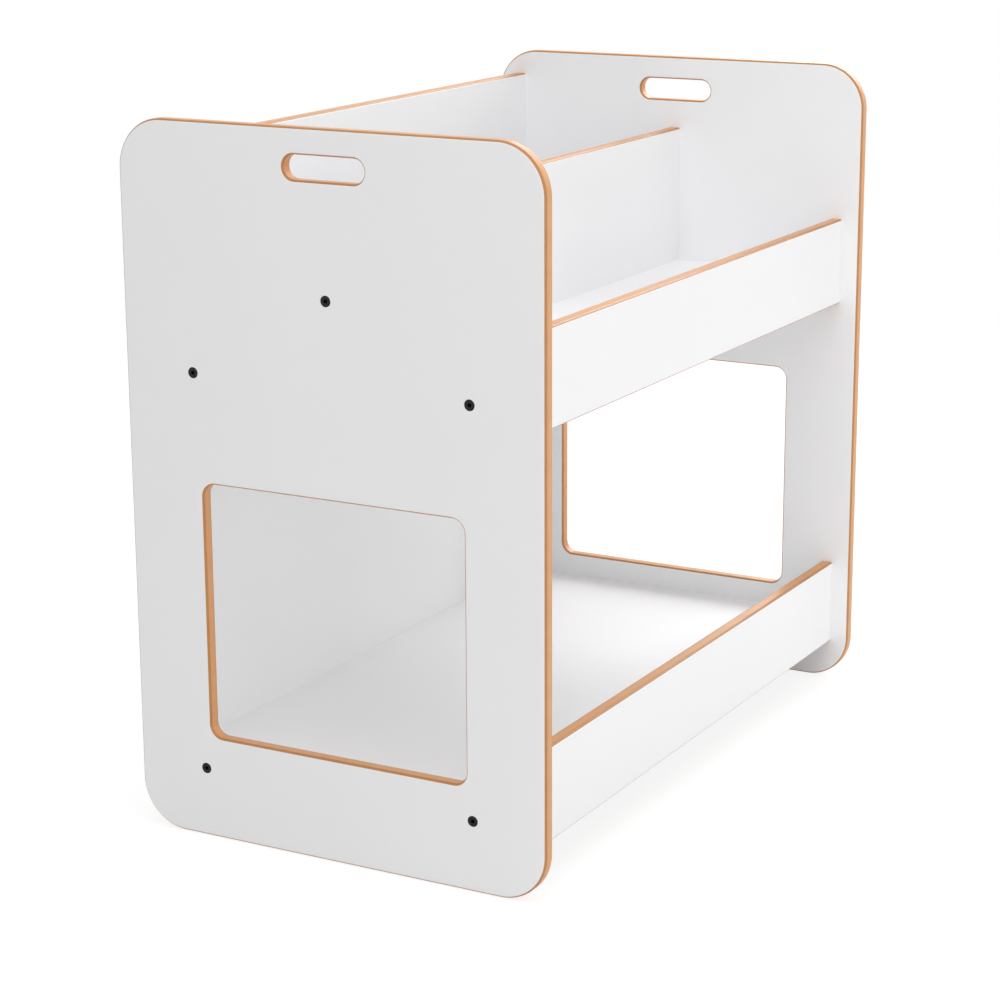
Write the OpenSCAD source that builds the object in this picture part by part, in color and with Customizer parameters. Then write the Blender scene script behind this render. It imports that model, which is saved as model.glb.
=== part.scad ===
// Low book and toy unit for a playroom: two rounded end panels carry two shelves,
// a back board, a divider and two front rails. Every board is white laminated MDF
// whose bare brown edges are rounded over.
// X runs along the shelves, the front rails face -Y, Z is up from the floor.

/* [Unit] */
// Length over the outer faces of both end panels
unit_length = 860; // [640:10:1200]
// Depth of an end panel, front edge to back edge
unit_depth = 515; // [460:5:620]
// Height of an end panel
unit_height = 800; // [740:5:900]
// Radius of an end panel's four outer corners
corner_radius = 55; // [30:1:80]

/* [Boards] */
// Thickness of a finished board, both laminate sheets included
board_t = 16; // [16:0.5:20]
// Thickness of one laminate sheet
laminate_t = 0.4; // [0.3:0.1:0.8]
// Radius that rounds over each bare edge, through the laminate into the fibreboard
edge_round = 3.5; // [2:0.5:5]
// Distance that the rails and the back board stand in from the end panels' edges
edge_inset = 23.5; // [15:0.5:40]

/* [Heights] */
// Underside of the lower rail and of the back board above the floor
floor_gap = 49; // [35:1:70]
// Height of a front rail
rail_height = 108; // [80:1:140]
// How far a rail hangs below the underside of its shelf
rail_drop = 23; // [10:1:40]
// Height of the divider above the upper shelf
divider_height = 172; // [140:1:200]
// Distance of the divider's top edge below the end panels' tops
divider_below_top = 90; // [75:1:130]
// Distance of the back board's top edge below the end panels' tops
back_below_top = 30; // [10:1:60]

/* [Windows] */
// Width of the window in an end panel
window_width = 324; // [260:2:340]
// Height of the window
window_height = 290; // [200:2:330]
// Radius of the window's corners
window_radius = 15; // [10:1:40]
// Height of the window's lower edge above the lower shelf
window_rise = 30; // [12:1:50]

/* [Hand holes] */
// Length of the hand hole near the top of an end panel
slot_length = 98; // [80:1:130]
// Height of the hand hole, rounded at both ends
slot_height = 26; // [24:1:34]
// Distance of the hand hole below the end panel's top
slot_below_top = 28.5; // [20:0.5:32]

/* [Screws and nuts] */
// Distance between the two screws of a shelf end
screw_spacing = 340; // [300:5:360]
// Height of the divider's screw above the upper shelf
divider_screw_rise = 84; // [70:1:100]
// Length of a screw, head included
screw_length = 50; // [45:1:60]
// Shank diameter of a screw
screw_d = 6; // [5:0.5:7]
// Diameter of the countersunk head
head_d = 12; // [11:0.5:13]
// Straight rim of the head above its cone
head_rim = 0.3; // [0.2:0.1:0.6]
// Width across the flats of the hexagon socket
socket_flats = 4; // [3:0.5:4]
// Depth of the socket
socket_depth = 2.5; // [2:0.1:3]
// Chamfer at a screw's tip
tip_chamfer = 0.8; // [0.5:0.1:1.2]
// Diameter of a barrel nut
nut_d = 10; // [9:0.5:12]
// Length of a barrel nut
nut_length = 10; // [8:0.5:11]
// Chamfer at a barrel nut's ends
nut_chamfer = 0.5; // [0.2:0.1:1]
// Distance from a nut's axis to the tip of its screw
nut_from_tip = 8; // [6:0.5:10]
// Width of the screwdriver slot in a barrel nut
nut_slot_w = 1.2; // [0.8:0.1:1.6]
// Depth of that slot
nut_slot_depth = 1.5; // [1:0.1:2]

/* [Dowels] */
// Diameter of a wooden dowel
dowel_d = 8; // [6:0.5:8]
// Length of a dowel
dowel_length = 30; // [25:1:40]
// Part of a dowel that sits in a board's face, the rest is in the other board's edge
dowel_bite = 10; // [8:0.5:11]
// Chamfer at a dowel's ends
dowel_chamfer = 1; // [0.5:0.1:1.5]
// Distance between the two dowels of a shelf end
shelf_dowel_spacing = 200; // [140:5:240]
// Distance between the two dowels of a rail end
rail_dowel_spacing = 54; // [40:1:60]
// Distance between the two dowels of a divider end
divider_dowel_spacing = 100; // [60:1:110]
// Number of dowels in each end of the back board
back_dowel_count = 4; // [2:1:6]
// Distance of the back board's outer dowels from its upper and lower edges
back_dowel_margin = 60; // [40:1:90]
// Number of dowels in each long joint
long_dowel_count = 4; // [2:1:6]
// Distance of the outer dowels of a long joint from its ends
long_dowel_margin = 114; // [80:1:150]

/* [Fits] */
// Room round a screw, nut or dowel in its hole
hole_gap = 0.15; // [0.1:0.05:0.3]
// Extra room round a screw's shank in the boards
shank_gap = 0.4; // [0.2:0.1:0.6]
// Room left at the bottom of a blind hole
hole_spare = 1; // [0.5:0.1:1.5]

/* [Hidden] */
$fn = 48;
EDGE_STEPS = 4;
MDF = "peru";
WHITE = "whitesmoke";
STEEL = "#2d2a28";
ZINC = "silver";
BEECH = "burlywood";
cut = 1;

skin_angle = asin(1 - laminate_t / edge_round);
skin_in = edge_round * (1 - cos(skin_angle));
core_t = board_t - 2 * laminate_t;
span = unit_length - 2 * board_t;
end_x = span / 2;
rail_y = edge_inset - unit_depth / 2;
bay_depth = unit_depth - 2 * edge_inset - 2 * board_t;
back_y = bay_depth / 2;
lower_z = floor_gap + rail_drop;
divider_top = unit_height - divider_below_top;
deck_z = divider_top - divider_height;
upper_z = deck_z - board_t;
upper_rail_z = upper_z - rail_drop;
shelf_mid = board_t / 2;
back_top = unit_height - back_below_top;
window_z = lower_z + board_t + window_rise + window_height / 2;
slot_z = unit_height - slot_below_top - slot_height / 2;
divider_screw_z = deck_z + divider_screw_rise;
head_cone = (head_d - screw_d) / 2;
screw_reach = screw_length - board_t;
nut_reach = screw_reach - nut_from_tip;
shank_hole_d = screw_d + 2 * shank_gap;
nut_hole_d = nut_d + 2 * hole_gap;
dowel_hole_d = dowel_d + 2 * hole_gap;
face_hole = dowel_bite + hole_spare;
edge_hole = dowel_length - dowel_bite + hole_spare;

// Places [y, z] of an end panel's screws
function shelf_screws(z) = [for (s = [-1, 1]) [s * screw_spacing / 2, z + shelf_mid]];
SHELF_SCREWS = concat(shelf_screws(lower_z), shelf_screws(upper_z));
DIVIDER_SCREW = [0, divider_screw_z];
SCREWS = concat(SHELF_SCREWS, [DIVIDER_SCREW]);

// Places [y, z] of the dowels between an end panel and each board
function spread(n, from, to) = [for (i = [0 : n - 1]) from + (to - from) * i / (n - 1)];
function shelf_end(z) = [for (s = [-1, 1]) [s * shelf_dowel_spacing / 2, z + shelf_mid]];
function rail_end(z) = [for (s = [-1, 1])
    [rail_y + board_t / 2, z + rail_height / 2 + s * rail_dowel_spacing / 2]];
DIVIDER_END = [for (s = [-1, 1]) [0, divider_screw_z + s * divider_dowel_spacing / 2]];
BACK_END = [for (z = spread(back_dowel_count, floor_gap + back_dowel_margin, back_top - back_dowel_margin))
    [back_y + board_t / 2, z]];
END_DOWELS = concat(shelf_end(lower_z), shelf_end(upper_z), rail_end(floor_gap), rail_end(upper_rail_z),
    DIVIDER_END, BACK_END);

// Places along X of the dowels in the long joints
LONG_X = spread(long_dowel_count, -end_x + long_dowel_margin, end_x - long_dowel_margin);

// Points of a round-over about (x, y), from the angle a through a turn
function arc(x, y, a, turn) = [for (i = [0 : EDGE_STEPS])
    [x + edge_round * cos(a + turn * i / EDGE_STEPS), y + edge_round * sin(a + turn * i / EDGE_STEPS)]];

// Section of a core's rounded edge: x from inside the board out to the edge, y from face to face.
// It starts at skin_angle, where the round-over has cut through the laminate.
module solid_edge(reach) {
    x = reach - edge_round;
    polygon(concat([[0, laminate_t]], arc(x, edge_round, -skin_angle, skin_angle),
        arc(x, board_t - edge_round, 0, skin_angle), [[0, board_t - laminate_t]]));
}

// Section of a laminate sheet, slanted where the round-over has cut it
module sheet_edge(reach) {
    polygon([[0, 0], [reach - edge_round, 0], [reach - skin_in, laminate_t], [0, laminate_t]]);
}

// Section of an opening through core and laminate, flared where its rims are rounded over
module open_edge(reach) {
    x = reach + edge_round;
    polygon(concat(
        [[0, -cut], [x, -cut], [x, 0]],
        arc(x, edge_round, 180 + skin_angle, -skin_angle), arc(x, board_t - edge_round, 180, -skin_angle),
        [[x, board_t], [x, board_t + cut], [0, board_t + cut]]
    ));
}

// Sweeps a section round a rectangle with rounded corners and fills the middle.
// The section's x starts on a corner's centre; low and high are its limits in z.
module around(width, height, corner, low, high) {
    w = width / 2 - corner;
    h = height / 2 - corner;
    for (k = [[1, 1, 0], [-1, 1, 90], [-1, -1, 180], [1, -1, 270]])
        translate([k[0] * w, k[1] * h, 0]) rotate([0, 0, k[2]]) rotate_extrude(angle = 90) children();
    for (turn = [0, 180]) {
        if (h > 0) rotate([0, 0, turn]) translate([w, h, 0])
            rotate([90, 0, 0]) linear_extrude(2 * h) children();
        if (w > 0) rotate([0, 0, turn + 90]) translate([h, w, 0])
            rotate([90, 0, 0]) linear_extrude(2 * w) children();
    }
    if (h > 0 && w > 0) translate([-w, -h, low]) cube([2 * w, 2 * h, high - low]);
}

// Opening cut through a board that lies from z = 0 up, with its corners and its rims rounded
module opening(width, height, corner) {
    around(width, height, corner, -cut, board_t + cut) open_edge(corner);
}

// Turns a panel drawn flat so that it stands across X, with its lowest face at x
module stand(x) translate([x, 0, 0]) rotate([90, 0, 90]) children();

// Holes along +X from the plane x, for a list of places [y, z]
module holes_x(places, x, depth, d) {
    for (p = places) translate([x, p[0], p[1]]) rotate([0, 90, 0]) cylinder(h = depth, d = d);
}

// Outline of an end panel drawn flat, for one of the edge sections
module end_outline(low, high) {
    translate([0, unit_height / 2, 0]) around(unit_depth, unit_height, corner_radius, low, high) children();
}

// Window and hand hole of an end panel drawn flat
module end_openings() {
    translate([0, window_z, 0]) opening(window_width, window_height, window_radius);
    translate([0, slot_z, 0]) opening(slot_length, slot_height, slot_height / 2);
}

// Core of the left end panel
module end_core() {
    difference() {
        stand(-end_x - board_t) difference() {
            end_outline(laminate_t, board_t - laminate_t) solid_edge(corner_radius);
            end_openings();
        }
        holes_x(SCREWS, -end_x - board_t, board_t + cut, shank_hole_d);
        for (p = SCREWS) translate([-end_x - board_t, p[0], p[1]]) head_seat();
        holes_x(END_DOWELS, -end_x - face_hole, face_hole + cut, dowel_hole_d);
    }
}

// Countersink that takes a screw's head, opening at -X
module head_seat() {
    top = head_d / 2 + hole_gap;
    rotate([0, 90, 0]) {
        translate([0, 0, -cut]) cylinder(h = cut + head_rim + hole_gap, r = top);
        translate([0, 0, head_rim + hole_gap]) cylinder(h = head_cone, r1 = top, r2 = top - head_cone);
    }
}

// Laminate sheet of an end panel drawn flat, its outer surface at z = 0
module end_sheet() {
    difference() {
        end_outline(0, laminate_t) sheet_edge(corner_radius);
        end_openings();
    }
}

module end_outer_laminate() {
    difference() {
        stand(-end_x - board_t) end_sheet();
        holes_x(SCREWS, -end_x - board_t - cut, laminate_t + 2 * cut, head_d + 2 * hole_gap);
    }
}

module end_inner_laminate() {
    difference() {
        stand(-end_x) mirror([0, 0, 1]) end_sheet();
        holes_x(SCREWS, -end_x - laminate_t - cut, laminate_t + 2 * cut, shank_hole_d);
        holes_x(END_DOWELS, -end_x - laminate_t - cut, laminate_t + 2 * cut, dowel_hole_d);
    }
}

// Holes in both ends of a board for the dowels that join it to the end panels
module end_dowel_holes(places) {
    holes_x(places, -end_x - cut, edge_hole + cut, dowel_hole_d);
    holes_x(places, end_x - edge_hole, edge_hole + cut, dowel_hole_d);
}

// Holes in both ends of a board for its screws
module end_screw_holes(places) {
    depth = screw_reach + hole_spare;
    holes_x(places, -end_x - cut, depth + cut, shank_hole_d);
    holes_x(places, end_x - depth, depth + cut, shank_hole_d);
}

// Section [y, z] of a standing board's core, rounded over at the top and, if asked, below
module standing_section(bottom, top, round_bottom) {
    r = edge_round;
    far = board_t - r;
    foot = round_bottom
        ? concat(arc(r, bottom + r, 270 - skin_angle, skin_angle), arc(far, bottom + r, 270, skin_angle))
        : [[laminate_t, bottom], [board_t - laminate_t, bottom]];
    head = concat(arc(far, top - r, 90 - skin_angle, skin_angle), arc(r, top - r, 90, skin_angle));
    polygon(concat(foot, head));
}

// Section [y, z] of a standing board's laminate sheet, with its outer surface at y = 0
module sheet_section(bottom, top, round_bottom) {
    foot = round_bottom
        ? [[laminate_t, bottom + skin_in], [0, bottom + edge_round]]
        : [[laminate_t, bottom], [0, bottom]];
    polygon(concat(foot, [[0, top - edge_round], [laminate_t, top - skin_in]]));
}

// Runs a section from one end panel to the other, its y = 0 at the plane y
module along_x(y) translate([-end_x, y, 0]) rotate([90, 0, 90]) linear_extrude(span) children();

// Core of a standing board whose front face lies at y
module standing_core(y, bottom, top, round_bottom) {
    along_x(y) standing_section(bottom, top, round_bottom);
}

// Laminate sheet on the front face of a standing board, which lies at y
module front_sheet(y, bottom, top, round_bottom) along_x(y) sheet_section(bottom, top, round_bottom);

// Laminate sheet on its rear face, the front sheet's mirror image
module rear_sheet(y, bottom, top, round_bottom) {
    translate([0, y + board_t, 0]) mirror([0, 1, 0]) front_sheet(0, bottom, top, round_bottom);
}

// Holes along Y for a row of long-joint dowels at the height z
module row_y(y, z, depth) {
    for (x = LONG_X) translate([x, y, z]) rotate([-90, 0, 0]) cylinder(h = depth, d = dowel_hole_d);
}

// Vertical holes for the dowels under the divider
module row_z(z, depth) {
    for (x = LONG_X) translate([x, 0, z]) cylinder(h = depth, d = dowel_hole_d);
}

module back_board_core() {
    difference() {
        standing_core(back_y, floor_gap, back_top, true);
        end_dowel_holes(BACK_END);
        for (z = [lower_z, upper_z]) row_y(back_y - cut, z + shelf_mid, face_hole + cut);
    }
}

module back_board_front_laminate() {
    difference() {
        front_sheet(back_y, floor_gap, back_top, true);
        for (z = [lower_z, upper_z]) row_y(back_y - cut, z + shelf_mid, laminate_t + 2 * cut);
    }
}

module back_board_rear_laminate() rear_sheet(back_y, floor_gap, back_top, true);

// Core of the front rail whose lower edge lies at z, with the holes for its shelf's dowels
module rail_core(z) {
    difference() {
        standing_core(rail_y, z, z + rail_height, true);
        end_dowel_holes(rail_end(z));
        row_y(-back_y - face_hole, z + rail_drop + shelf_mid, face_hole + cut);
    }
}

module rail_front_laminate(z) front_sheet(rail_y, z, z + rail_height, true);

module rail_rear_laminate(z) {
    difference() {
        rear_sheet(rail_y, z, z + rail_height, true);
        row_y(-back_y - laminate_t - cut, z + rail_drop + shelf_mid, laminate_t + 2 * cut);
    }
}

// Cross hole for each barrel nut of the divider, open at its rear face
module divider_nut_holes() {
    for (s = [-1, 1]) translate([s * (end_x - nut_reach), -nut_length / 2 - hole_gap, divider_screw_z])
        rotate([-90, 0, 0]) cylinder(h = board_t + cut, d = nut_hole_d);
}

module divider_core() {
    difference() {
        standing_core(-board_t / 2, deck_z, divider_top, false);
        end_dowel_holes(DIVIDER_END);
        end_screw_holes([DIVIDER_SCREW]);
        divider_nut_holes();
        row_z(deck_z - cut, edge_hole + cut);
    }
}

module divider_front_laminate() front_sheet(-board_t / 2, deck_z, divider_top, false);

module divider_rear_laminate() {
    difference() {
        rear_sheet(-board_t / 2, deck_z, divider_top, false);
        divider_nut_holes();
    }
}

// Cross hole for each barrel nut of a shelf, open at its underside
module shelf_nut_holes(z) {
    for (sx = [-1, 1]) for (sy = [-1, 1])
        translate([sx * (end_x - nut_reach), sy * screw_spacing / 2, z - cut])
            cylinder(h = cut + shelf_mid + nut_length / 2 + hole_gap, d = nut_hole_d);
}

module shelf_core(z) {
    difference() {
        translate([-end_x, -back_y, z + laminate_t]) cube([span, bay_depth, core_t]);
        end_dowel_holes(shelf_end(z));
        end_screw_holes(shelf_screws(z));
        shelf_nut_holes(z);
        row_y(-back_y - cut, z + shelf_mid, edge_hole + cut);
        row_y(back_y - edge_hole, z + shelf_mid, edge_hole + cut);
    }
}

module shelf_sheet(z) translate([-end_x, -back_y, z]) cube([span, bay_depth, laminate_t]);

module shelf_top_laminate(z) shelf_sheet(z + board_t - laminate_t);

module shelf_bottom_laminate(z) {
    difference() {
        shelf_sheet(z);
        shelf_nut_holes(z);
    }
}

module upper_shelf_core() {
    difference() {
        shelf_core(upper_z);
        row_z(deck_z - face_hole, face_hole + cut);
    }
}

module upper_shelf_top_laminate() {
    difference() {
        shelf_top_laminate(upper_z);
        row_z(deck_z - laminate_t - cut, laminate_t + 2 * cut);
    }
}

// Countersunk screw with a hexagon socket, its head at x = 0 and its tip towards +X
module screw() {
    shank_r = screw_d / 2;
    socket_r = socket_flats / 2 / cos(30);
    rotate([0, 90, 0]) difference() {
        rotate_extrude() polygon([
            [0, 0], [head_d / 2, 0], [head_d / 2, head_rim], [shank_r, head_rim + head_cone],
            [shank_r, screw_length - tip_chamfer], [shank_r - tip_chamfer, screw_length], [0, screw_length]
        ]);
        translate([0, 0, -cut]) cylinder(h = socket_depth + cut, r = socket_r, $fn = 6);
    }
}

module end_screws() {
    for (p = SCREWS) translate([-end_x - board_t, p[0], p[1]]) screw();
}

// Round rod along +Z, chamfered at both ends
module rod(d, length, chamfer) {
    r = d / 2;
    rotate_extrude() polygon([
        [0, 0], [r - chamfer, 0], [r, chamfer], [r, length - chamfer], [r - chamfer, length], [0, length]
    ]);
}

// Barrel nut standing on Z, its thread along X and its screwdriver slot below
module barrel_nut() {
    difference() {
        translate([0, 0, -nut_length / 2]) rod(nut_d, nut_length, nut_chamfer);
        rotate([0, 90, 0]) cylinder(h = nut_d + 2 * cut, d = screw_d + 2 * hole_gap, center = true);
        translate([-nut_d / 2 - cut, -nut_slot_w / 2, -nut_length / 2 - cut])
            cube([nut_d + 2 * cut, nut_slot_w, nut_slot_depth + cut]);
    }
}

module barrel_nuts() {
    for (p = SHELF_SCREWS) translate([-end_x + nut_reach, p[0], p[1]]) barrel_nut();
    translate([-end_x + nut_reach, 0, divider_screw_z]) rotate([90, 0, 0]) barrel_nut();
}

// Dowel along +Z from its end in a board's face
module dowel() rod(dowel_d, dowel_length, dowel_chamfer);

module end_dowels() {
    for (p = END_DOWELS) translate([-end_x - dowel_bite, p[0], p[1]]) rotate([0, 90, 0]) dowel();
}

// Dowels from a shelf into its rail and into the back board
module shelf_dowels(z) {
    for (x = LONG_X) {
        translate([x, -back_y - dowel_bite, z + shelf_mid]) rotate([-90, 0, 0]) dowel();
        translate([x, back_y + dowel_bite, z + shelf_mid]) rotate([90, 0, 0]) dowel();
    }
}

module divider_dowels() {
    for (x = LONG_X) translate([x, 0, deck_z - dowel_bite]) dowel();
}

// The right end is the left end's mirror image
module right() mirror([1, 0, 0]) children();

color(MDF) end_core();  // left_end_core
color(WHITE) end_outer_laminate();  // left_end_outer_laminate
color(WHITE) end_inner_laminate();  // left_end_inner_laminate
color(MDF) right() end_core();  // right_end_core
color(WHITE) right() end_outer_laminate();  // right_end_outer_laminate
color(WHITE) right() end_inner_laminate();  // right_end_inner_laminate
color(MDF) back_board_core();
color(WHITE) back_board_front_laminate();
color(WHITE) back_board_rear_laminate();
color(MDF) divider_core();
color(WHITE) divider_front_laminate();
color(WHITE) divider_rear_laminate();
color(MDF) rail_core(upper_rail_z);  // upper_rail_core
color(WHITE) rail_front_laminate(upper_rail_z);  // upper_rail_front_laminate
color(WHITE) rail_rear_laminate(upper_rail_z);  // upper_rail_rear_laminate
color(MDF) rail_core(floor_gap);  // lower_rail_core
color(WHITE) rail_front_laminate(floor_gap);  // lower_rail_front_laminate
color(WHITE) rail_rear_laminate(floor_gap);  // lower_rail_rear_laminate
color(MDF) upper_shelf_core();
color(WHITE) upper_shelf_top_laminate();
color(WHITE) shelf_bottom_laminate(upper_z);  // upper_shelf_bottom_laminate
color(MDF) shelf_core(lower_z);  // lower_shelf_core
color(WHITE) shelf_top_laminate(lower_z);  // lower_shelf_top_laminate
color(WHITE) shelf_bottom_laminate(lower_z);  // lower_shelf_bottom_laminate
color(STEEL) end_screws();  // left_end_screws
color(STEEL) right() end_screws();  // right_end_screws
color(ZINC) barrel_nuts();  // left_barrel_nuts
color(ZINC) right() barrel_nuts();  // right_barrel_nuts
color(BEECH) end_dowels();  // left_end_dowels
color(BEECH) right() end_dowels();  // right_end_dowels
color(BEECH) shelf_dowels(lower_z);  // lower_shelf_dowels
color(BEECH) shelf_dowels(upper_z);  // upper_shelf_dowels
color(BEECH) divider_dowels();
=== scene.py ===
import math

import bmesh
import bpy
from mathutils import Matrix, Vector


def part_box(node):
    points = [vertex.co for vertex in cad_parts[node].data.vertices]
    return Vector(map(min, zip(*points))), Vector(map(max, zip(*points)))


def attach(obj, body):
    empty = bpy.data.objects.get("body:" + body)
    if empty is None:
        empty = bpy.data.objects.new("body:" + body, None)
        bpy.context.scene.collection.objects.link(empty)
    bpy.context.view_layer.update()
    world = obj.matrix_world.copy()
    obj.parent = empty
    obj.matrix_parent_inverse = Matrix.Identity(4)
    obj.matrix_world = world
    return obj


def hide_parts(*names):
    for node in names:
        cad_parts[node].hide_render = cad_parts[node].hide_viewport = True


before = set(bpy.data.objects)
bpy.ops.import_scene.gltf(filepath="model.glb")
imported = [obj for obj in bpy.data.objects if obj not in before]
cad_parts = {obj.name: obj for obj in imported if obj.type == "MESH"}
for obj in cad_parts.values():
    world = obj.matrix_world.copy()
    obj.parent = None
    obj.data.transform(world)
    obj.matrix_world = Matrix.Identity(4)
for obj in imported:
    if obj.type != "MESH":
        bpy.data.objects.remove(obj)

bl_info = {
    "name": "Low Shelving Unit",
    "version": (1, 0, 0),
    "blender": (4, 5, 0),
    "location": "3D Viewport > Sidebar > Shelving",
    "description": "Builds the boards, fixings and finishes of a low book and toy unit",
    "category": "Object",
}

MM = 0.001
# Points closer than this are merged: in a new mesh, and in a copy of a CAD one
MERGE = 0.001 * MM
CAD_MERGE = 0.01 * MM
# An edge that turns by more than this stays sharp
SHARP_TURN = math.radians(24)
# Sides of a round bar or bore, of a hexagon socket and of the floor
ROUND_SIDES = 48
SOCKET_SIDES = 6
FLOOR_SIDES = 96
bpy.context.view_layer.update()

# Places and thicknesses that the CAD model gives
PANEL_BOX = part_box("left_end_core")
SHEET_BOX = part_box("left_end_outer_laminate")
BACK_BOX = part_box("back_board_core")
DIVIDER_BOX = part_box("divider_core")
UPPER_RAIL_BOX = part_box("upper_rail_core")
LOWER_RAIL_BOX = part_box("lower_rail_core")
OUTER_X = -SHEET_BOX[0].x
SHEET_T = SHEET_BOX[1].x - SHEET_BOX[0].x
BOARD_T = PANEL_BOX[1].x - PANEL_BOX[0].x + 2 * SHEET_T
DOWEL_NODES = ("left_end_dowels", "right_end_dowels", "lower_shelf_dowels", "upper_shelf_dowels",
               "divider_dowels")
# Each screw node, and how far its screws are turned about Z from pointing along +X
SCREW_NODES = (("left_end_screws", 0), ("right_end_screws", math.pi))
# Each soft lamp: its name, place, target and size, and the setting that holds its power
LAMPS = (("top_lamp", (-1.0, -0.7, 2.8), (0, 0, 0.4), 2.5, "top_power"),
         ("front_lamp", (0.6, -2.9, 1.3), (0, 0, 0.4), 2.0, "front_power"),
         ("near_lamp", (-2.4, -1.8, 0.9), (0, 0, 0.3), 1.6, "near_power"),
         ("far_lamp", (2.6, 0, 1.6), (0, 0, 0.2), 1.8, "far_power"))
# Turns a panel drawn flat, foot at y = 0, so that it stands across X
STAND = Matrix(((0, 0, 1, 0), (1, 0, 0, 0), (0, 1, 0, 0), (0, 0, 0, 1)))


def linear(code):
    """An sRGB hex colour as the linear red, green and blue that Blender works in."""
    parts = [int(code[i:i + 2], 16) / 255 for i in (1, 3, 5)]
    return tuple(c / 12.92 if c <= 0.04045 else ((c + 0.055) / 1.055) ** 2.4 for c in parts)


def length(name, description, default, low, high):
    """A length setting, given in millimetres."""
    return bpy.props.FloatProperty(name=name, description=description, default=default * MM,
                                   min=low * MM, max=high * MM, precision=4, unit="LENGTH")


def colour(name, description, code):
    """A colour setting, given as an sRGB hex value."""
    return bpy.props.FloatVectorProperty(name=name, description=description, default=linear(code),
                                         min=0, max=1, subtype="COLOR")


class BoardSizes(bpy.types.PropertyGroup):
    """Sizes of the laminated boards"""
    edge_round: length("Edge Round", "Radius that rounds over each bare edge", 3.5, 1, 6)
    corner_radius: length("Corner Radius", "Radius of an end panel's corners", 55, 20, 90)
    window_width: length("Window Width", "Width of the window along the panel's depth",
                         324, 200, 360)
    window_height: length("Window Height", "Height of the window", 290, 150, 330)
    window_radius: length("Window Radius", "Radius of the window's corners", 15, 5, 60)
    window_middle: length("Window Middle", "Height of the window's middle above the floor",
                          263, 200, 300)
    hole_length: length("Hand Hole Length", "Length of the hand hole", 98, 70, 140)
    hole_height: length("Hand Hole Height", "Height of the hand hole, round at both ends",
                        26, 20, 40)
    hole_middle: length("Hand Hole Middle", "Height of the hand hole's middle above the floor",
                        758.5, 700, 780)
    edge_steps: bpy.props.IntProperty(
        name="Edge Steps", description="Faces across each round-over", default=8, min=2, max=16)
    corner_steps: bpy.props.IntProperty(
        name="Corner Steps", description="Faces round each corner of a panel or an opening",
        default=20, min=4, max=48)


class FixingSizes(bpy.types.PropertyGroup):
    """Sizes of the screws and barrel nuts"""
    shank: length("Shank", "Diameter of a screw's shank", 6, 4, 8)
    rim: length("Head Rim", "Straight rim of a countersunk head", 0.3, 0.1, 1)
    socket: length("Socket", "Width across the flats of the hexagon socket", 4, 2, 6)
    socket_depth: length("Socket Depth", "Depth of the hexagon socket", 2.5, 1, 3)
    slot_width: length("Nut Slot Width", "Width of the screwdriver slot in a barrel nut",
                       1.2, 0.5, 2)
    slot_depth: length("Nut Slot Depth", "Depth of that slot", 1.5, 0.5, 3)
    tip: length("Tip Chamfer", "Chamfer at a screw's tip", 0.8, 0.2, 2)
    nut_chamfer: length("Nut Chamfer", "Chamfer at a barrel nut's ends", 0.5, 0.2, 1)
    gap: length("Gap", "Room round a screw's head, a nut or a dowel in its hole", 0.15, 0.05, 0.5)
    shank_gap: length("Shank Gap", "Room round a screw's shank", 0.4, 0.1, 1)
    spare: length("Spare Depth", "Room at the bottom of a blind hole", 1, 0.2, 3)


class Finishes(bpy.types.PropertyGroup):
    """Colours of the finishes"""
    laminate: colour("Laminate", "White of the pressed laminate", "#F8F8F9")
    fibre_middle: colour("Fibre Middle", "Lacquered fibreboard in the middle of an edge", "#DEA069")
    fibre_skin: colour("Fibre Skin", "Denser fibreboard next to a board's faces", "#BA8147")
    screw: colour("Screw", "Black oxide on the screws", "#35322F")
    nut: colour("Barrel Nut", "Zinc plating on the barrel nuts", "#C8CACB")
    dowel: colour("Dowel", "Bare beech of the dowels", "#D2AA7C")


class StageSettings(bpy.types.PropertyGroup):
    """Camera, lamps and floor"""
    camera_place: bpy.props.FloatVectorProperty(
        name="Camera Place", description="Where the camera stands",
        default=(-2.7274, -1.4708, 1.1304), subtype="TRANSLATION", unit="LENGTH")
    heading: bpy.props.FloatProperty(
        name="Heading", description="Direction of view, from +X towards +Y",
        default=0.50365, unit="ROTATION")
    pitch: bpy.props.FloatProperty(
        name="Pitch", description="How far the camera looks down",
        default=0.25908, unit="ROTATION")
    roll: bpy.props.FloatProperty(
        name="Roll", description="How far the camera is turned about its view",
        default=0.00503, unit="ROTATION")
    lens: bpy.props.FloatProperty(
        name="Lens", description="Focal length in millimetres on a 36 mm sensor",
        default=96.25, min=10)
    ambient: bpy.props.FloatProperty(
        name="Ambient", description="Strength of the even light from all round",
        default=0.49, min=0)
    top_power: bpy.props.FloatProperty(
        name="Top Lamp", description="Power of the large soft lamp above the left end",
        default=28, min=0)
    front_power: bpy.props.FloatProperty(
        name="Front Lamp", description="Power of the soft lamp before the rails",
        default=14, min=0)
    near_power: bpy.props.FloatProperty(
        name="Near Lamp", description="Power of the low soft lamp at the front left",
        default=7, min=0)
    far_power: bpy.props.FloatProperty(
        name="Far Lamp", description="Power of the soft lamp beyond the right end",
        default=48, min=0)
    glow: bpy.props.FloatProperty(
        name="Floor Glow", description="Light that the lit studio floor sends up",
        default=0.05, min=0)
    shadow: bpy.props.FloatProperty(
        name="Floor Shadow", description="How much of its shadow the white floor shows",
        default=0.3, min=0, max=1, subtype="FACTOR")
    backdrop: bpy.props.FloatProperty(
        name="Backdrop", description="How bright the camera sees the bare floor",
        default=1.15, min=0)
    floor_radius: bpy.props.FloatProperty(
        name="Floor Radius", description="Radius of the round floor",
        default=2.8, min=1, unit="LENGTH")
    floor: colour("Floor", "Pale floor that the unit stands on", "#F4F4F4")


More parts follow.
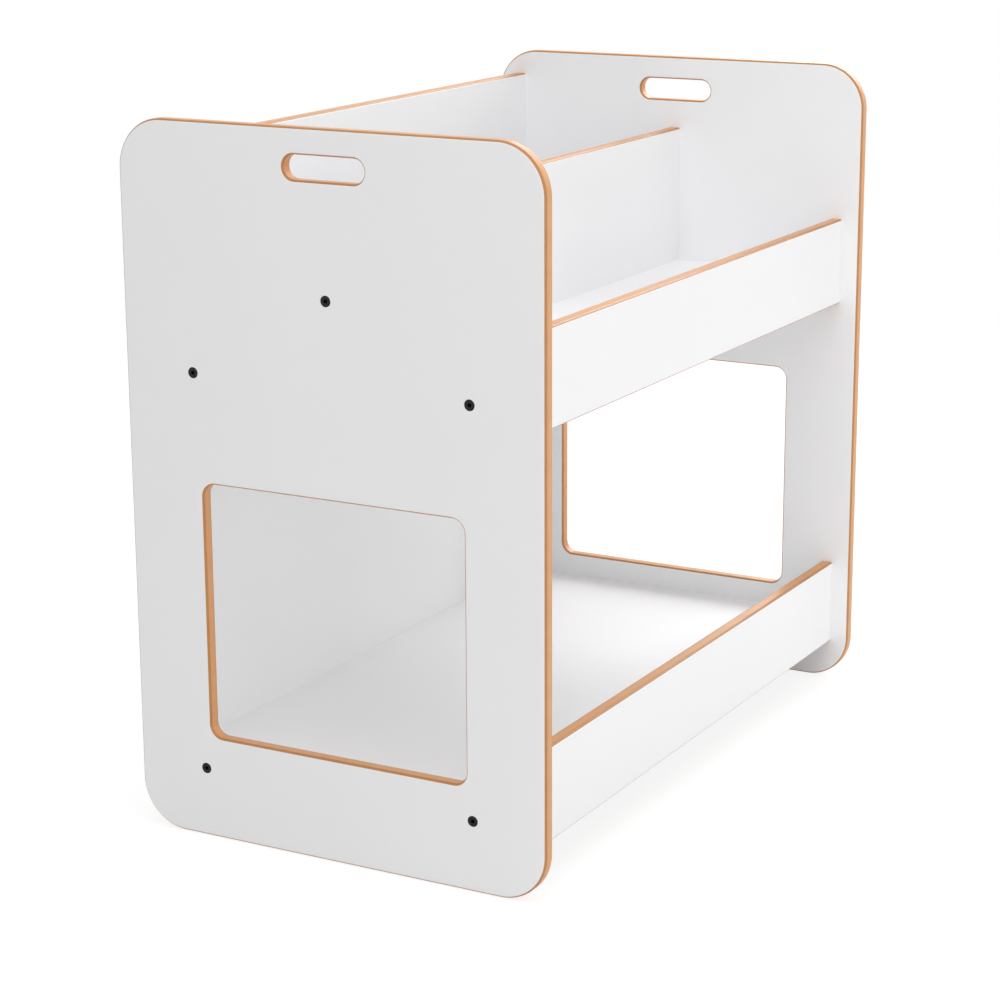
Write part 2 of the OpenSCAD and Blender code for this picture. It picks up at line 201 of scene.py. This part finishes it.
def add(tree, kind, settings=None, values=None, links=None):
    """Adds a node with its settings, its sockets' values and the outputs linked to its sockets."""
    node = tree.nodes.new(kind)
    for key, value in (settings or {}).items():
        setattr(node, key, value)
    for key, value in (values or {}).items():
        node.inputs[key].default_value = value
    for key, output in (links or {}).items():
        tree.links.new(output, node.inputs[key])
    return node


def start_material(name):
    """A material of that name with an empty node tree."""
    material = bpy.data.materials.new(name)
    material.use_nodes = True
    material.node_tree.nodes.clear()
    return material


def satin_melamine():
    """White melamine laminate, pressed against a satin plate: it has a very fine pearl texture,
    a soft wide sheen, and a gloss that hardly varies from place to place."""
    if "satin_white_melamine" in bpy.data.materials:
        return bpy.data.materials["satin_white_melamine"]
    material = start_material("satin_white_melamine")
    tree = material.node_tree
    white = Vector(bpy.context.scene.shelving_finishes.laminate)
    place = add(tree, "ShaderNodeTexCoord").outputs["Object"]
    # The pearls are about 0.7 mm across and are drawn at 1.6 mm, so that they show at all
    pearl = add(tree, "ShaderNodeTexNoise", values={"Scale": 1 / (1.6 * MM), "Detail": 1.0},
                links={"Vector": place})
    # Cloudy unevenness of the press, about 90 mm from one spot to the next
    cloud = add(tree, "ShaderNodeTexNoise", values={"Scale": 1 / (90 * MM), "Detail": 2.0},
                links={"Vector": place})
    gloss = add(tree, "ShaderNodeMapRange", values={"To Min": 0.38, "To Max": 0.48},
                links={"Value": cloud.outputs["Fac"]})
    tint = add(tree, "ShaderNodeValToRGB", links={"Fac": cloud.outputs["Fac"]})
    tint.color_ramp.elements[0].color = (*white * 0.985, 1)
    tint.color_ramp.elements[1].color = (*white, 1)
    bump = add(tree, "ShaderNodeBump", values={"Strength": 0.15, "Distance": 0.05 * MM},
               links={"Height": pearl.outputs["Fac"]})
    shader = add(tree, "ShaderNodeBsdfPrincipled", values={"IOR": 1.5},
                 links={"Base Color": tint.outputs["Color"], "Roughness": gloss.outputs["Result"],
                        "Normal": bump.outputs["Normal"]})
    add(tree, "ShaderNodeOutputMaterial", links={"Surface": shader.outputs["BSDF"]})
    return material


def lacquered_fibreboard(board, axis, middle):
    """Medium density fibreboard, routed, sanded and clear lacquered: short matted fibres that lie
    flat in the board, darker towards its faces, where the board is denser, under a satin coat.
    The board's thickness runs along the axis, with its middle plane at the place given."""
    name = "lacquered_fibreboard_" + board
    if name in bpy.data.materials:
        return bpy.data.materials[name]
    material = start_material(name)
    tree = material.node_tree
    colours = bpy.context.scene.shelving_finishes
    centre = Vector()
    centre[axis] = -middle
    # The fibres lie flat, so their pattern is squeezed through the board's thickness
    flat = Vector((1, 1, 1))
    flat[axis] = 2.5
    place = add(tree, "ShaderNodeTexCoord").outputs["Object"]
    about = add(tree, "ShaderNodeMapping", values={"Location": centre}, links={"Vector": place})
    split = add(tree, "ShaderNodeSeparateXYZ", links={"Vector": about.outputs["Vector"]})
    away = add(tree, "ShaderNodeMath", {"operation": "ABSOLUTE"}, links={0: split.outputs[axis]})
    # The dense skin is about 3 mm deep on each side and fades over 2 mm. It gives only a part of
    # the shade, so that the fibres show in it too
    skin = add(tree, "ShaderNodeMapRange", {"interpolation_type": "SMOOTHSTEP"},
               {"From Min": BOARD_T / 2 - 4.2 * MM, "From Max": BOARD_T / 2 - 2.2 * MM,
                "To Max": 0.55},
               {"Value": away.outputs["Value"]})
    # Fibre bundles of about 0.5 mm are drawn at 1.3 mm, so that they show
    squeeze = add(tree, "ShaderNodeMapping", values={"Scale": flat}, links={"Vector": place})
    fibre = add(tree, "ShaderNodeTexNoise",
                values={"Scale": 1 / (1.3 * MM), "Detail": 3.0, "Roughness": 0.65},
                links={"Vector": squeeze.outputs["Vector"]})
    # Cloudy unevenness, about 22 mm from one spot to the next
    mottle = add(tree, "ShaderNodeTexNoise", values={"Scale": 1 / (22 * MM), "Detail": 2.0},
                 links={"Vector": place})
    depth = add(tree, "ShaderNodeMath", {"operation": "MULTIPLY_ADD"}, {1: 0.5},
                {0: fibre.outputs["Fac"], 2: skin.outputs["Result"]})
    shade = add(tree, "ShaderNodeMath", {"operation": "MULTIPLY_ADD", "use_clamp": True},
                {1: 0.30}, {0: mottle.outputs["Fac"], 2: depth.outputs["Value"]})
    tint = add(tree, "ShaderNodeValToRGB", links={"Fac": shade.outputs["Value"]})
    tint.color_ramp.elements[0].position = 0.33
    tint.color_ramp.elements[0].color = (*colours.fibre_middle, 1)
    tint.color_ramp.elements[1].color = (*colours.fibre_skin, 1)
    bump = add(tree, "ShaderNodeBump", values={"Strength": 0.25, "Distance": 0.06 * MM},
               links={"Height": fibre.outputs["Fac"]})
    shader = add(tree, "ShaderNodeBsdfPrincipled",
                 values={"Roughness": 0.65, "IOR": 1.4, "Coat Weight": 0.5, "Coat Roughness": 0.3},
                 links={"Base Color": tint.outputs["Color"], "Normal": bump.outputs["Normal"]})
    add(tree, "ShaderNodeOutputMaterial", links={"Surface": shader.outputs["BSDF"]})
    return material


def metal(name, tint, roughness, spread, grain):
    """A plated or oxidised steel whose gloss varies by spread over spots of the grain's size."""
    if name in bpy.data.materials:
        return bpy.data.materials[name]
    material = start_material(name)
    tree = material.node_tree
    place = add(tree, "ShaderNodeTexCoord").outputs["Object"]
    spots = add(tree, "ShaderNodeTexNoise", values={"Scale": 1 / grain, "Detail": 3.0},
                links={"Vector": place})
    gloss = add(tree, "ShaderNodeMapRange",
                values={"To Min": roughness - spread, "To Max": roughness + spread},
                links={"Value": spots.outputs["Fac"]})
    bump = add(tree, "ShaderNodeBump", values={"Strength": 0.1, "Distance": 0.02 * MM},
               links={"Height": spots.outputs["Fac"]})
    shader = add(tree, "ShaderNodeBsdfPrincipled",
                 values={"Base Color": (*tint, 1), "Metallic": 1.0},
                 links={"Roughness": gloss.outputs["Result"], "Normal": bump.outputs["Normal"]})
    add(tree, "ShaderNodeOutputMaterial", links={"Surface": shader.outputs["BSDF"]})
    return material


def bare_beech():
    """Bare beech, turned: pale and dull, with fine darker rays."""
    if "bare_beech" in bpy.data.materials:
        return bpy.data.materials["bare_beech"]
    material = start_material("bare_beech")
    tree = material.node_tree
    wood = Vector(bpy.context.scene.shelving_finishes.dowel)
    place = add(tree, "ShaderNodeTexCoord").outputs["Object"]
    # Rays of about 0.6 mm by 4 mm, their length along X
    long = add(tree, "ShaderNodeMapping", values={"Scale": (0.15, 1, 1)}, links={"Vector": place})
    rays = add(tree, "ShaderNodeTexNoise", values={"Scale": 1 / (0.6 * MM), "Detail": 2.0},
               links={"Vector": long.outputs["Vector"]})
    tint = add(tree, "ShaderNodeValToRGB", links={"Fac": rays.outputs["Fac"]})
    tint.color_ramp.elements[0].color = (*wood, 1)
    tint.color_ramp.elements[1].color = (*wood * 0.72, 1)
    shader = add(tree, "ShaderNodeBsdfPrincipled", values={"Roughness": 0.7, "IOR": 1.5},
                 links={"Base Color": tint.outputs["Color"]})
    add(tree, "ShaderNodeOutputMaterial", links={"Surface": shader.outputs["BSDF"]})
    return material


def finish_piece(bm, node, material):
    """Makes a piece of a closed mesh in place of a CAD node: its flat faces stay flat, and its
    round-overs shade smoothly into them."""
    name = node + "_piece"
    bmesh.ops.recalc_face_normals(bm, faces=bm.faces)
    for face in bm.faces:
        face.smooth = True
    for edge in bm.edges:
        edge.smooth = edge.calc_face_angle(math.pi) < SHARP_TURN
    mesh = bpy.data.meshes.new(name)
    bm.to_mesh(mesh)
    bm.free()
    mesh.materials.append(material)
    piece = bpy.data.objects.new(name, mesh)
    bpy.context.scene.collection.objects.link(piece)
    weighted = piece.modifiers.new("Weighted Normal", "WEIGHTED_NORMAL")
    weighted.keep_sharp = True
    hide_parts(node)
    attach(piece, "root")
    return piece


def added(items, before):
    """The vertices, edges or faces of a mesh that weren't there before, in the mesh's own order.
    A bare set has another order in each run, and so would give other triangles."""
    return [item for item in items if item not in before]


def ring(bm, width, height, corner, steps, middle, depth):
    """Edges of a flat rectangle with rounded corners, about the middle and at the depth given."""
    old_verts, old_edges, old_faces = set(bm.verts), set(bm.edges), set(bm.faces)
    verts = bmesh.ops.create_grid(bm, x_segments=1, y_segments=1, size=0.5)["verts"]
    bmesh.ops.scale(bm, vec=(width, height, 1), verts=verts)
    bmesh.ops.translate(bm, vec=(*middle, depth), verts=verts)
    bmesh.ops.bevel(bm, geom=verts, offset=corner, segments=steps, profile=0.5,
                    affect="VERTICES", material=-1)
    bmesh.ops.delete(bm, geom=added(bm.faces, old_faces), context="FACES_ONLY")
    bmesh.ops.remove_doubles(bm, verts=added(bm.verts, old_verts), dist=MERGE)
    return added(bm.edges, old_edges)


def round_over(radius, steps):
    """Insets and depths from one face of a board to the other, over both rounded edges."""
    quarter = [(radius * (1 - math.sin(turn)), radius * (1 - math.cos(turn)))
               for turn in (math.pi / 2 * i / steps for i in range(steps + 1))]
    return quarter + [(inset, BOARD_T - depth) for inset, depth in reversed(quarter)]


def end_panel(sizes):
    """A whole end panel as it stands at the left, with window, hand hole and round-overs."""
    bm = bmesh.new()
    low, high = PANEL_BOX
    middle = (low + high) / 2
    outline = (high.y - low.y, high.z - low.z, sizes.corner_radius, middle.y, middle.z)
    window = (sizes.window_width, sizes.window_height, sizes.window_radius, 0, sizes.window_middle)
    hole = (sizes.hole_length, sizes.hole_height, sizes.hole_height / 2, 0, sizes.hole_middle)
    faces = [[], []]
    for (width, height, corner, x, y), way in ((outline, -1), (window, 1), (hole, 1)):
        rings = [ring(bm, width + 2 * way * inset, height + 2 * way * inset, corner + way * inset,
                      sizes.corner_steps, (x, y), depth)
                 for inset, depth in round_over(sizes.edge_round, sizes.edge_steps)]
        for lower, upper in zip(rings, rings[1:]):
            bmesh.ops.bridge_loops(bm, edges=lower + upper)
        faces[0] += rings[0]
        faces[1] += rings[-1]
    for edges in faces:
        bmesh.ops.triangle_fill(bm, edges=edges, use_beauty=True)
    bmesh.ops.transform(bm, matrix=Matrix.Translation((-OUTER_X, 0, 0)) @ STAND, verts=bm.verts)
    return bm


def long_board(box, round_bottom, sizes):
    """A whole board between the end panels, its core in the box given, rounded over on top and,
    if asked, below."""
    low, high = box
    sheet = Vector((0, SHEET_T, 0))
    size = high - low + 2 * sheet
    bm = bmesh.new()
    bmesh.ops.create_cube(bm, size=1)
    bmesh.ops.scale(bm, vec=size, verts=bm.verts)
    bmesh.ops.translate(bm, vec=(low + high) / 2, verts=bm.verts)
    middle = (low.z + high.z) / 2
    rims = [edge for edge in bm.edges
            if abs(edge.verts[0].co.x - edge.verts[1].co.x) > size.x / 2
            and (round_bottom or edge.verts[0].co.z > middle)]
    bmesh.ops.bevel(bm, geom=rims, offset=sizes.edge_round, segments=sizes.edge_steps, profile=0.5,
                    affect="EDGES", material=-1)
    return bm


def layer(board, axis, low=None, high=None):
    """A copy of a board, cut down to what lies between two planes across the axis."""
    bm = board.copy()
    for place, side in ((low, -1), (high, 1)):
        if place is None:
            continue
        point, normal = Vector(), Vector()
        point[axis] = place
        normal[axis] = side
        whole = bm.verts[:] + bm.edges[:] + bm.faces[:]
        cut = bmesh.ops.bisect_plane(bm, geom=whole, plane_co=point, plane_no=normal,
                                     clear_outer=True)
        edges = [item for item in cut["geom_cut"] if isinstance(item, bmesh.types.BMEdge)]
        bmesh.ops.triangle_fill(bm, edges=edges, use_beauty=True)
    return bm


def solids(node):
    """The box of each separate solid of a CAD node."""
    bm = bmesh.new()
    bm.from_mesh(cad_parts[node].data)
    bmesh.ops.remove_doubles(bm, verts=bm.verts, dist=CAD_MERGE)
    left = set(bm.verts)
    boxes = []
    while left:
        reached = [left.pop()]
        for vert in reached:
            fresh = {edge.other_vert(vert) for edge in vert.link_edges} & left
            left -= fresh
            reached += fresh
        boxes.append(tuple(Vector(end(vert.co[i] for vert in reached) for i in range(3))
                           for end in (min, max)))
    bm.free()
    return sorted(boxes, key=lambda box: tuple(round(value, 5) for value in box[0]))


def lathe(bm, profile, matrix, steps=ROUND_SIDES):
    """Turns a profile of (x, radius) points about X, closed at both ends, and puts it in place."""
    old_verts, old_faces = set(bm.verts), set(bm.faces)
    verts = [bm.verts.new((x, 0, radius)) for x, radius in profile]
    edges = [bm.edges.new(pair) for pair in zip(verts, verts[1:])]
    bmesh.ops.spin(bm, geom=verts + edges, cent=(0, 0, 0), axis=(1, 0, 0), angle=2 * math.pi,
                   steps=steps, use_merge=True)
    bmesh.ops.remove_doubles(bm, verts=added(bm.verts, old_verts), dist=MERGE)
    bmesh.ops.recalc_face_normals(bm, faces=added(bm.faces, old_faces))
    bmesh.ops.transform(bm, matrix=matrix, verts=added(bm.verts, old_verts))


def in_order(bm):
    """The same mesh anew, with its vertices and faces sorted by place, because the boolean gives
    them another order in each run."""
    old = sorted(bm.verts, key=lambda vert: vert.co[:])
    rank = {vert: i for i, vert in enumerate(old)}
    rounds = []
    for face in bm.faces:
        ranks = [rank[vert] for vert in face.verts]
        first = ranks.index(min(ranks))
        rounds.append(ranks[first:] + ranks[:first])
    new = bmesh.new()
    verts = [new.verts.new(vert.co) for vert in old]
    for ranks in sorted(rounds):
        new.faces.new([verts[i] for i in ranks])
    bm.free()
    return new


def cut_away(bm, tools):
    """Cuts one closed mesh out of another and returns what is left."""
    objects = []
    for solid in (bm, tools):
        mesh = bpy.data.meshes.new("solid")
        solid.to_mesh(mesh)
        solid.free()
        objects.append(bpy.data.objects.new("solid", mesh))
        bpy.context.scene.collection.objects.link(objects[-1])
    body, tool = objects
    cut = body.modifiers.new("Cut", "BOOLEAN")
    cut.operation = "DIFFERENCE"
    cut.solver = "EXACT"
    cut.use_self = True
    cut.object = tool
    result = bmesh.new()
    result.from_object(body, bpy.context.evaluated_depsgraph_get())
    for piece in objects:
        mesh = piece.data
        bpy.data.objects.remove(piece)
        bpy.data.meshes.remove(mesh)
    return in_order(result)


def reaches(solid, box):
    """Whether a solid's box and a board's box overlap."""
    return all(solid[0][i] < box[1][i] and solid[1][i] > box[0][i] for i in range(3))


def dowel_holes(tools, box, sizes):
    """Adds the holes of the dowels that reach into a board's box."""
    for node in DOWEL_NODES:
        for low, high in solids(node):
            if not reaches((low, high), box):
                continue
            size = high - low
            axis = max(range(3), key=lambda i: size[i])
            reach = size[axis] / 2 + sizes.spare
            radius = min(size) / 2 + sizes.gap
            way = Vector([float(i == axis) for i in range(3)])
            along = Vector((1, 0, 0)).rotation_difference(way)
            lathe(tools, ((-reach, 0), (-reach, radius), (reach, radius), (reach, 0)),
                  Matrix.Translation((low + high) / 2) @ along.to_matrix().to_4x4())


def head_place(low, high, turn):
    """Puts a screw drawn along +X, its head at X = 0, where the screw of that box is."""
    head = Vector((high.x if turn else low.x, (low.y + high.y) / 2, (low.z + high.z) / 2))
    return Matrix.Translation(head) @ Matrix.Rotation(turn, 4, "Z")


def screw_holes(tools, box, sizes):
    """Adds the countersunk holes of the screws that reach into a board's box."""
    for node, turn in SCREW_NODES:
        for low, high in solids(node):
            if not reaches((low, high), box):
                continue
            head = (high.y - low.y) / 2 + sizes.gap
            shank = sizes.shank / 2 + sizes.shank_gap
            seat = sizes.rim + sizes.gap
            deep = high.x - low.x + sizes.spare
            lathe(tools, ((-sizes.spare, 0), (-sizes.spare, head), (seat, head),
                          (seat + head - shank, shank), (deep, shank), (deep, 0)),
                  head_place(low, high, turn))


def nut_holes(tools, box, sizes):
    """Adds the holes of the barrel nuts that lie in a standing board, open at its rear face."""
    for node in ("left_barrel_nuts", "right_barrel_nuts"):
        for low, high in solids(node):
            if not reaches((low, high), box):
                continue
            radius = (high.x - low.x) / 2 + sizes.gap
            reach = box[1].y + sizes.spare - low.y
            middle = (low + high) / 2
            place = Matrix.Translation((middle.x, low.y - sizes.gap, middle.z))
            lathe(tools, ((0, 0), (0, radius), (reach, radius), (reach, 0)),
                  place @ Matrix.Rotation(math.pi / 2, 4, "Z"))


def drill(board, box, sizes):
    """Drills a whole board for the dowels, screws and nuts that reach into its box."""
    tools = bmesh.new()
    dowel_holes(tools, box, sizes)
    screw_holes(tools, box, sizes)
    nut_holes(tools, box, sizes)
    return cut_away(board, tools)


def finish_boards(board, axis, box, names, wood):
    """Saws a whole board across the axis into its core and its two sheets of laminate."""
    core, low_sheet, high_sheet = names
    white = satin_melamine()
    finish_piece(layer(board, axis, box[0][axis], box[1][axis]), core, wood)
    finish_piece(layer(board, axis, None, box[0][axis]), low_sheet, white)
    finish_piece(layer(board, axis, box[1][axis], None), high_sheet, white)
    board.free()


def standing_board(name, box, round_bottom):
    """Builds the back board, the divider or a rail: a core with a front and a rear sheet."""
    scene = bpy.context.scene
    sheet = Vector((0, SHEET_T, 0))
    board = drill(long_board(box, round_bottom, scene.shelving_boards),
                  (box[0] - sheet, box[1] + sheet), scene.shelving_fixings)
    names = [name + part for part in ("_core", "_front_laminate", "_rear_laminate")]
    finish_boards(board, 1, box, names,
                  lacquered_fibreboard(name, 1, (box[0].y + box[1].y) / 2))


def dress(node, material):
    """Gives a CAD node its material."""
    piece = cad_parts[node]
    piece.data.materials.clear()
    piece.data.materials.append(material)


class BuildEndPanels(bpy.types.Operator):
    """Builds both end panels: a core and two sheets each, rounded over all round"""
    bl_idname = "shelving.end_panels"
    bl_label = "End Panels"

    def execute(self, context):
        scene = context.scene
        sheet = Vector((SHEET_T, 0, 0))
        left = drill(end_panel(scene.shelving_boards), (PANEL_BOX[0] - sheet, PANEL_BOX[1] + sheet),
                     scene.shelving_fixings)
        right = left.copy()
        bmesh.ops.scale(right, vec=(-1, 1, 1), verts=right.verts)
        bmesh.ops.reverse_faces(right, faces=right.faces)
        middle = (PANEL_BOX[0].x + PANEL_BOX[1].x) / 2
        finish_boards(left, 0, PANEL_BOX,
                      ("left_end_core", "left_end_outer_laminate", "left_end_inner_laminate"),
                      lacquered_fibreboard("left_end", 0, middle))
        finish_boards(right, 0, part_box("right_end_core"),
                      ("right_end_core", "right_end_inner_laminate", "right_end_outer_laminate"),
                      lacquered_fibreboard("right_end", 0, -middle))
        return {"FINISHED"}


class BuildBackBoard(bpy.types.Operator):
    """Builds the back board, rounded over on top and below"""
    bl_idname = "shelving.back_board"
    bl_label = "Back Board"

    def execute(self, context):
        standing_board("back_board", BACK_BOX, True)
        return {"FINISHED"}


class BuildDivider(bpy.types.Operator):
    """Builds the divider, rounded over on top, which stands on the upper shelf"""
    bl_idname = "shelving.divider"
    bl_label = "Divider"

    def execute(self, context):
        standing_board("divider", DIVIDER_BOX, False)
        return {"FINISHED"}


class BuildRails(bpy.types.Operator):
    """Builds the upper and the lower rail across the front"""
    bl_idname = "shelving.rails"
    bl_label = "Front Rails"

    def execute(self, context):
        standing_board("upper_rail", UPPER_RAIL_BOX, True)
        standing_board("lower_rail", LOWER_RAIL_BOX, True)
        return {"FINISHED"}


class DressShelves(bpy.types.Operator):
    """Gives the two shelves their fibreboard and laminate"""
    bl_idname = "shelving.shelves"
    bl_label = "Shelves"

    def execute(self, context):
        for name in ("upper_shelf", "lower_shelf"):
            low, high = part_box(name + "_core")
            dress(name + "_core", lacquered_fibreboard(name, 2, (low.z + high.z) / 2))
            dress(name + "_top_laminate", satin_melamine())
            dress(name + "_bottom_laminate", satin_melamine())
        return {"FINISHED"}


class BuildScrews(bpy.types.Operator):
    """Builds the countersunk screws, each with a hexagon socket"""
    bl_idname = "shelving.screws"
    bl_label = "Screws"

    def execute(self, context):
        sizes = context.scene.shelving_fixings
        oxide = metal("black_oxide_steel", context.scene.shelving_finishes.screw, roughness=0.40,
                      spread=0.05, grain=1.5 * MM)
        for node, turn in SCREW_NODES:
            bodies = bmesh.new()
            sockets = bmesh.new()
            for low, high in solids(node):
                place = head_place(low, high, turn)
                head = (high.y - low.y) / 2
                shank = sizes.shank / 2
                long = high.x - low.x
                lathe(bodies, ((0, 0), (0, head - sizes.rim / 2), (sizes.rim / 2, head),
                               (sizes.rim, head), (sizes.rim + head - shank, shank),
                               (long - sizes.tip, shank), (long, shank - sizes.tip), (long, 0)),
                      place)
                corner = sizes.socket / 2 / math.cos(math.pi / SOCKET_SIDES)
                lathe(sockets, ((-sizes.spare, 0), (-sizes.spare, corner),
                                (sizes.socket_depth, corner), (sizes.socket_depth, 0)),
                      place, steps=SOCKET_SIDES)
            finish_piece(cut_away(bodies, sockets), node, oxide)
        return {"FINISHED"}


class BuildBarrelNuts(bpy.types.Operator):
    """Builds the barrel nuts, each with a cross hole for its screw and a screwdriver slot"""
    bl_idname = "shelving.barrel_nuts"
    bl_label = "Barrel Nuts"

    def execute(self, context):
        sizes = context.scene.shelving_fixings
        zinc = metal("zinc_plated_steel", context.scene.shelving_finishes.nut, roughness=0.32,
                     spread=0.06, grain=2 * MM)
        for side in ("left", "right"):
            bodies = bmesh.new()
            holes = bmesh.new()
            slots = bmesh.new()
            for low, high in solids(side + "_barrel_nuts"):
                # The slot is below on a shelf's nut and at the rear on one of the divider's
                along = Vector((0, -1, 0) if reaches((low, high), DIVIDER_BOX) else (0, 0, 1))
                thread = Vector((1, 0, 0))
                turn = Matrix((along, thread.cross(along), thread)).transposed().to_4x4()
                middle = Matrix.Translation((low + high) / 2)
                radius = (high.x - low.x) / 2
                half = (high.z - low.z) / 2
                end = radius - sizes.nut_chamfer
                wall = half - sizes.nut_chamfer
                reach = radius + sizes.spare
                bore = sizes.shank / 2 + sizes.gap
                lathe(bodies, ((-half, 0), (-half, end), (-wall, radius), (wall, radius),
                               (half, end), (half, 0)), middle @ turn)
                lathe(holes, ((-reach, 0), (-reach, bore), (reach, bore), (reach, 0)), middle)
                cube = bmesh.ops.create_cube(slots, size=1)["verts"]
                bmesh.ops.scale(slots, vec=(2 * sizes.slot_depth, sizes.slot_width, 2 * reach),
                                verts=cube)
                bmesh.ops.translate(slots, vec=(-half, 0, 0), verts=cube)
                bmesh.ops.transform(slots, matrix=middle @ turn, verts=cube)
            nuts = cut_away(cut_away(bodies, holes), slots)
            finish_piece(nuts, side + "_barrel_nuts", zinc)
        return {"FINISHED"}


class DressDowels(bpy.types.Operator):
    """Gives the dowels their bare beech"""
    bl_idname = "shelving.dowels"
    bl_label = "Dowels"

    def execute(self, context):
        for node in DOWEL_NODES:
            dress(node, bare_beech())
        return {"FINISHED"}


def white_world(ambient):
    """Even light from all round, which the camera and reflections see as plain white."""
    world = bpy.data.worlds.new("studio")
    world.use_nodes = True
    tree = world.node_tree
    tree.nodes.clear()
    path = add(tree, "ShaderNodeLightPath").outputs
    seen = add(tree, "ShaderNodeMath", {"operation": "MAXIMUM"},
               links={0: path["Is Camera Ray"], 1: path["Is Glossy Ray"]})
    plain = add(tree, "ShaderNodeMath", {"operation": "MAXIMUM"},
                links={0: seen.outputs["Value"], 1: path["Is Transmission Ray"]})
    strength = add(tree, "ShaderNodeMapRange", values={"To Min": ambient, "To Max": 1.0},
                   links={"Value": plain.outputs["Value"]})
    light = add(tree, "ShaderNodeBackground", values={"Color": (1, 1, 1, 1)},
                links={"Strength": strength.outputs["Result"]})
    add(tree, "ShaderNodeOutputWorld", links={"Surface": light.outputs["Background"]})
    bpy.context.scene.world = world


def white_floor(settings):
    """A pale floor that looks white but for the shadow on it."""
    bm = bmesh.new()
    bmesh.ops.create_circle(bm, cap_ends=True, radius=settings.floor_radius,
                            segments=FLOOR_SIDES)
    mesh = bpy.data.meshes.new("floor")
    bm.to_mesh(mesh)
    bm.free()
    floor = bpy.data.objects.new("floor", mesh)
    # Just below the panels' feet, so that no two faces share one plane
    floor.location.z = -0.2 * MM
    bpy.context.scene.collection.objects.link(floor)
    material = start_material("pale_floor")
    tree = material.node_tree
    path = add(tree, "ShaderNodeLightPath").outputs
    white = add(tree, "ShaderNodeEmission", values={"Strength": settings.backdrop})
    # The floor's own light reaches the unit, and the camera doesn't see it
    unseen = add(tree, "ShaderNodeMath", {"operation": "MULTIPLY_ADD"},
                 {1: -settings.glow, 2: settings.glow}, {0: path["Is Camera Ray"]})
    glow = add(tree, "ShaderNodeEmission", links={"Strength": unseen.outputs["Value"]})
    matt = add(tree, "ShaderNodeBsdfDiffuse", values={"Color": (*settings.floor, 1)})
    pale = add(tree, "ShaderNodeAddShader",
               links={0: matt.outputs["BSDF"], 1: glow.outputs["Emission"]})
    share = add(tree, "ShaderNodeMath", {"operation": "MULTIPLY"}, {1: 1 - settings.shadow},
                {0: path["Is Camera Ray"]})
    mixed = add(tree, "ShaderNodeMixShader",
                links={0: share.outputs["Value"], 1: pale.outputs["Shader"],
                       2: white.outputs["Emission"]})
    add(tree, "ShaderNodeOutputMaterial", links={"Surface": mixed.outputs["Shader"]})
    mesh.materials.append(material)
    return floor


def soft_lamp(name, place, target, size, power):
    """A large square lamp that faces its target."""
    light = bpy.data.lights.new(name, "AREA")
    light.size = size
    light.energy = power
    lamp = bpy.data.objects.new(name, light)
    lamp.visible_camera = False
    bpy.context.scene.collection.objects.link(lamp)
    aim = (Vector(target) - Vector(place)).to_track_quat("-Z", "Y")
    lamp.matrix_world = Matrix.Translation(place) @ aim.to_matrix().to_4x4()
    return lamp


class BuildStage(bpy.types.Operator):
    """Sets up the floor, the lamps, the white surroundings and the camera"""
    bl_idname = "shelving.stage"
    bl_label = "Stage"

    def execute(self, context):
        scene = context.scene
        settings = scene.shelving_stage
        scene.view_settings.view_transform = "Standard"
        white_world(settings.ambient)
        floor = white_floor(settings)
        lamps = [soft_lamp(name, place, target, size, getattr(settings, power))
                 for name, place, target, size, power in LAMPS]
        lens = bpy.data.cameras.new("camera")
        lens.lens = settings.lens
        camera = bpy.data.objects.new("camera", lens)
        scene.collection.objects.link(camera)
        level = math.cos(settings.pitch)
        forward = Vector((math.cos(settings.heading) * level, math.sin(settings.heading) * level,
                          -math.sin(settings.pitch)))
        camera.matrix_world = (Matrix.Translation(settings.camera_place)
                               @ forward.to_track_quat("-Z", "Y").to_matrix().to_4x4()
                               @ Matrix.Rotation(-settings.roll, 4, "Z"))
        scene.camera = camera
        return {"FINISHED"}


SETTINGS = (("shelving_boards", BoardSizes), ("shelving_fixings", FixingSizes),
            ("shelving_finishes", Finishes), ("shelving_stage", StageSettings))
STEPS = (BuildEndPanels, BuildBackBoard, BuildDivider, BuildRails, DressShelves, BuildScrews,
         BuildBarrelNuts, DressDowels, BuildStage)


class VIEW3D_PT_shelving(bpy.types.Panel):
    """Lists the settings and the steps that build the unit"""
    bl_idname = "VIEW3D_PT_shelving"
    bl_label = "Low Shelving Unit"
    bl_space_type = "VIEW_3D"
    bl_region_type = "UI"
    bl_category = "Shelving"

    def draw(self, context):
        for name, kind in SETTINGS:
            box = self.layout.box()
            box.label(text=kind.__doc__)
            for key in kind.__annotations__:
                box.prop(getattr(context.scene, name), key)
        for step in STEPS:
            self.layout.operator(step.bl_idname)


def register():
    for name, kind in SETTINGS:
        bpy.utils.register_class(kind)
        setattr(bpy.types.Scene, name, bpy.props.PointerProperty(type=kind))
    for kind in (*STEPS, VIEW3D_PT_shelving):
        bpy.utils.register_class(kind)


def unregister():
    for kind in (VIEW3D_PT_shelving, *reversed(STEPS)):
        bpy.utils.unregister_class(kind)
    for name, kind in reversed(SETTINGS):
        delattr(bpy.types.Scene, name)
        bpy.utils.unregister_class(kind)


def main():
    register()
    bpy.ops.shelving.end_panels()
    bpy.ops.shelving.back_board()
    bpy.ops.shelving.divider()
    bpy.ops.shelving.rails()
    bpy.ops.shelving.shelves()
    bpy.ops.shelving.screws()
    bpy.ops.shelving.barrel_nuts()
    bpy.ops.shelving.dowels()
    bpy.ops.shelving.stage()


if __name__ == "__main__":
    main()
